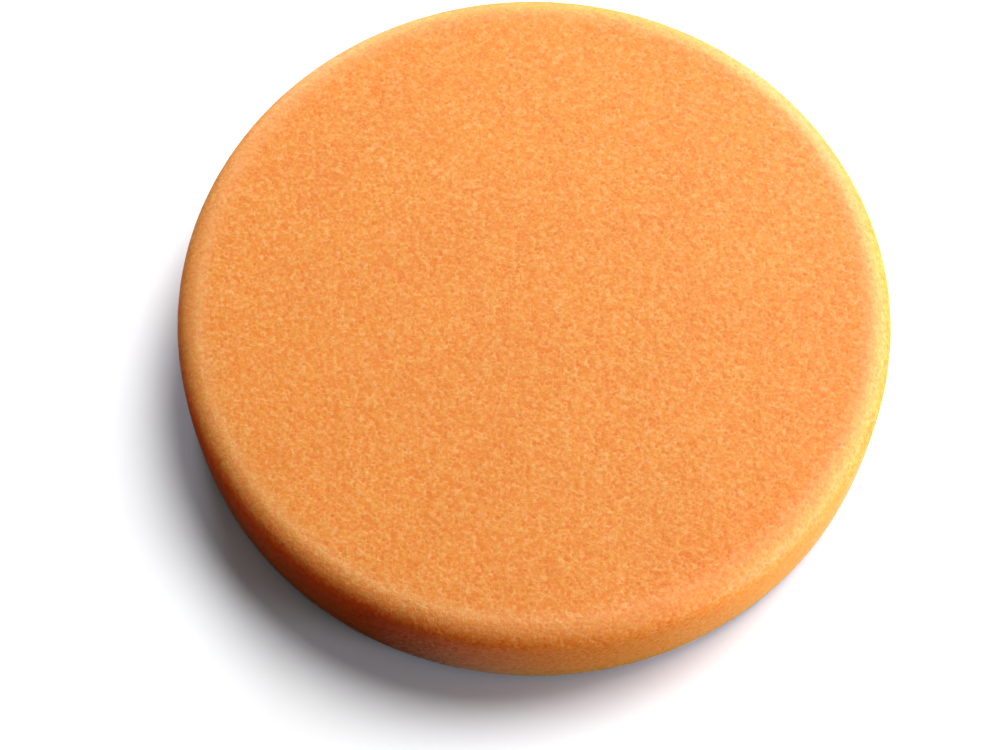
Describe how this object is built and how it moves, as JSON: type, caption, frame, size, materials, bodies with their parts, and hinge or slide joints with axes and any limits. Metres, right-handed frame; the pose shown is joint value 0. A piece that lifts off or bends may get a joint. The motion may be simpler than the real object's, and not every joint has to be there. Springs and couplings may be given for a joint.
{
  "type": "polishing pad",
  "caption": "Flat round foam polishing pad with a softened rim and a hook-and-loop backing.",
  "frame": {"origin": "centre of the loop face, where the pad meets the machine's hook plate or a bench", "axes": "+Z along the pad's axis, from the loop face towards the working face; X and Y are free, because the pad is round"},
  "size_m": [0.15, 0.15, 0.025],
  "materials": {
    "foam": "matte",
    "film": "satin",
    "knit": "matte",
    "pile": "matte"
  },
  "bodies": {
    "root": {"foam_disc": "foam", "bond_film": "film", "loop_ground": "knit", "loop_pile": "pile"}
  },
  "joints": []
}
